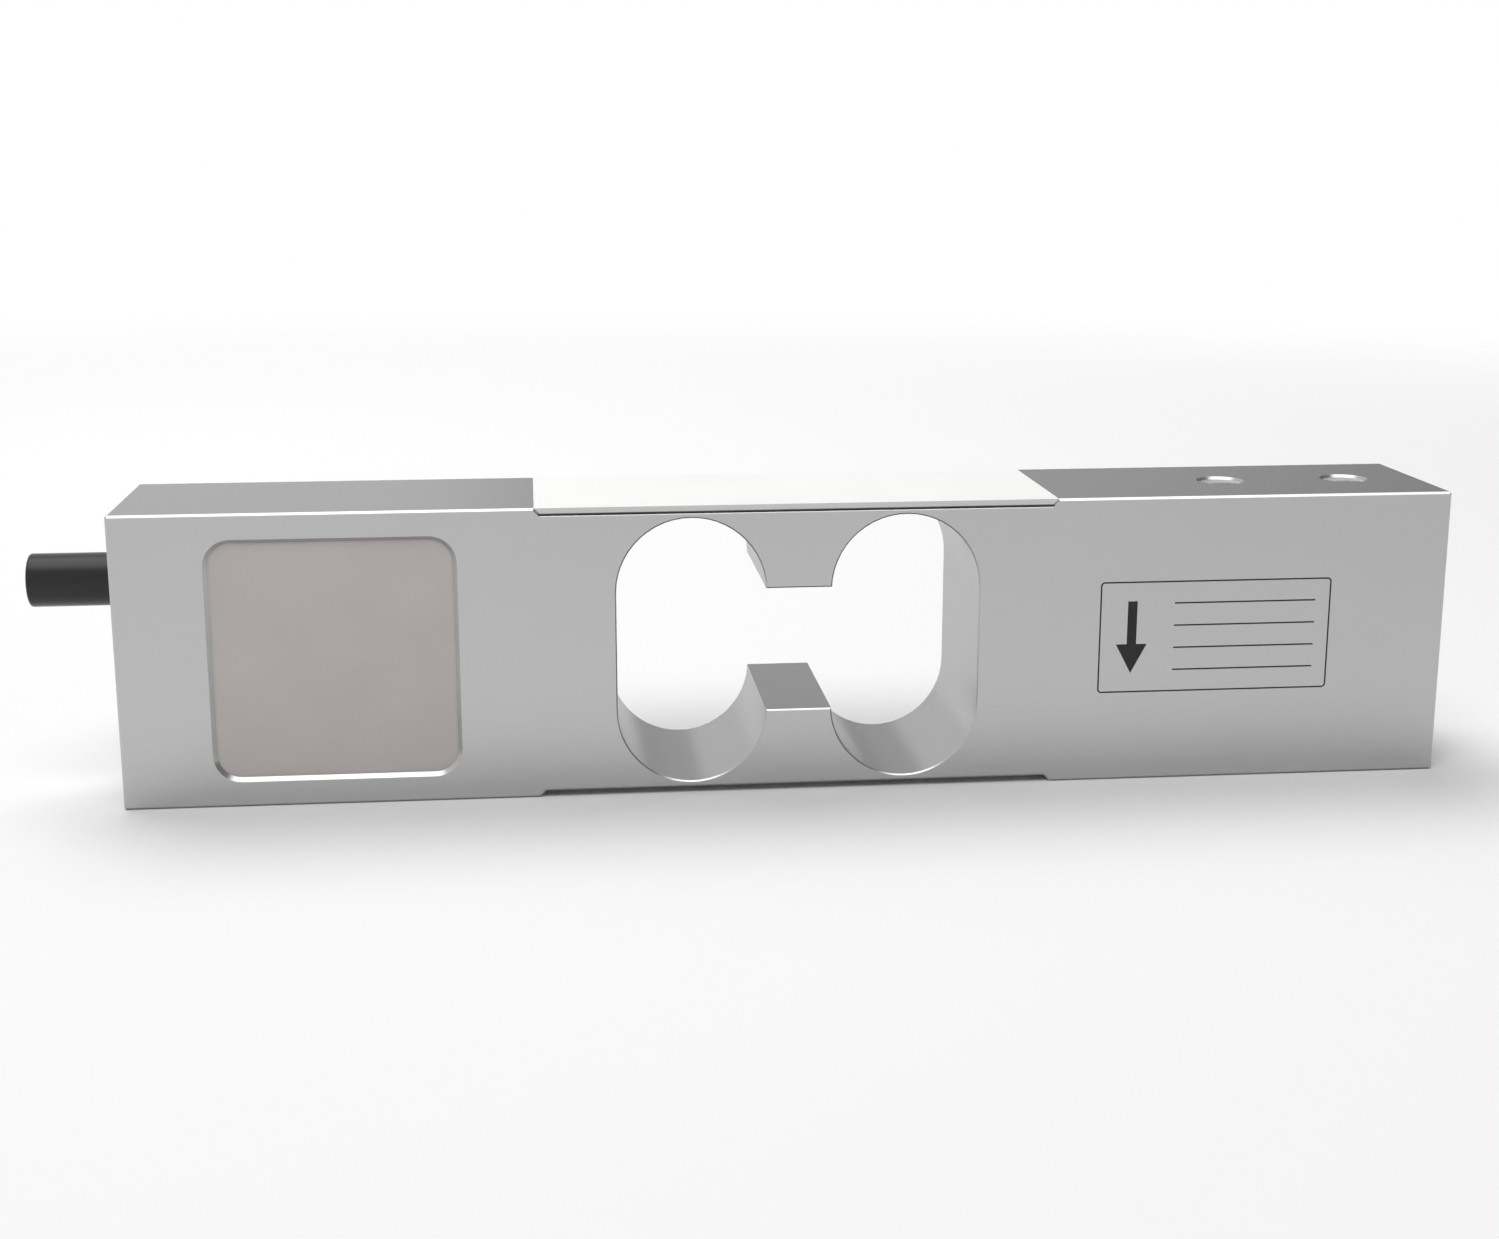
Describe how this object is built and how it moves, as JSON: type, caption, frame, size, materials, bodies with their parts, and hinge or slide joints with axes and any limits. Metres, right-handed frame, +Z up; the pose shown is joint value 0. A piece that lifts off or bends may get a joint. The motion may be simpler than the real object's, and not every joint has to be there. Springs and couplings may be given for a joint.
{
  "type": "weighing load cell",
  "caption": "Single-point weighing load cell: an aluminium beam with a milled flexure cavity, sealed strain gauges, a covered wiring pocket and a short cable stub.",
  "frame": {"origin": "centre of the two tapped holes at the fixed, cable end, on the bottom face", "axes": "+X along the beam from the cable end to the loaded end, the wiring pocket faces -Y, +Z is up"},
  "size_m": [0.1605, 0.021, 0.033],
  "materials": {
    "machined_aluminium": "satin machined",
    "white_sealant": "smooth matte",
    "cover_plate": "warm grey satin",
    "bond": "cured adhesive",
    "potting": "soft translucent gel",
    "grey_sealant": "cured sealant",
    "marking_paint": "black paint in an engraved line",
    "board_laminate": "glass-fibre board with green lacquer",
    "terminal_laminate": "thin amber laminate with copper pads",
    "copper": "bare copper",
    "solder": "tin solder",
    "cable_jacket": "satin black jacket",
    "tinned_braid": "tinned copper braid",
    "cable_filler": "white filler",
    "ferrule": "crimped brass ring",
    "red_insulation": "wire insulation",
    "black_insulation": "wire insulation",
    "green_insulation": "wire insulation",
    "white_insulation": "wire insulation",
    "carrier_film": "amber polyimide film",
    "gauge_foil": "etched foil",
    "enamelled_wire": "enamelled copper wire",
    "resistor_body": "chip resistor"
  },
  "bodies": {
    "root": {"beam_body": "machined_aluminium", "board_bond": "bond", "board_copper": "copper", "board_solder": "solder", "bottom_gauge_seal": "white_sealant", "bridge_board": "board_laminate", "cable_ferrule": "ferrule", "cable_filler": "cable_filler", "cable_jacket": "cable_jacket", "cable_seal": "grey_sealant", "cable_shield": "tinned_braid", "core_black": "black_insulation", "core_conductors": "copper", "core_green": "green_insulation", "core_red": "red_insulation", "core_white": "white_insulation", "cover_bond": "bond", "drain_wire": "tinned_braid", "gauge_carrier_bottom_fixed": "carrier_film", "gauge_carrier_bottom_load": "carrier_film", "gauge_carrier_top_fixed": "carrier_film", "gauge_carrier_top_load": "carrier_film", "gauge_grid_bottom_fixed": "gauge_foil", "gauge_grid_bottom_load": "gauge_foil", "gauge_grid_top_fixed": "gauge_foil", "gauge_grid_top_load": "gauge_foil", "gauge_jumpers_bottom": "enamelled_wire", "gauge_jumpers_top": "enamelled_wire", "gauge_leads_bottom": "enamelled_wire", "gauge_leads_top": "enamelled_wire", "gauge_solder_bottom": "solder", "gauge_solder_top": "solder", "input_trim_resistor": "resistor_body", "marking_fill": "marking_paint", "output_trim_resistor": "resistor_body", "pocket_cover": "cover_plate", "pocket_potting": "potting", "span_temperature_resistor": "resistor_body", "span_trim_resistor": "resistor_body", "terminal_strip_bottom": "terminal_laminate", "terminal_strip_top": "terminal_laminate", "top_gauge_seal": "white_sealant", "zero_balance_resistor": "resistor_body", "zero_drift_resistor": "resistor_body"}
  },
  "joints": []
}
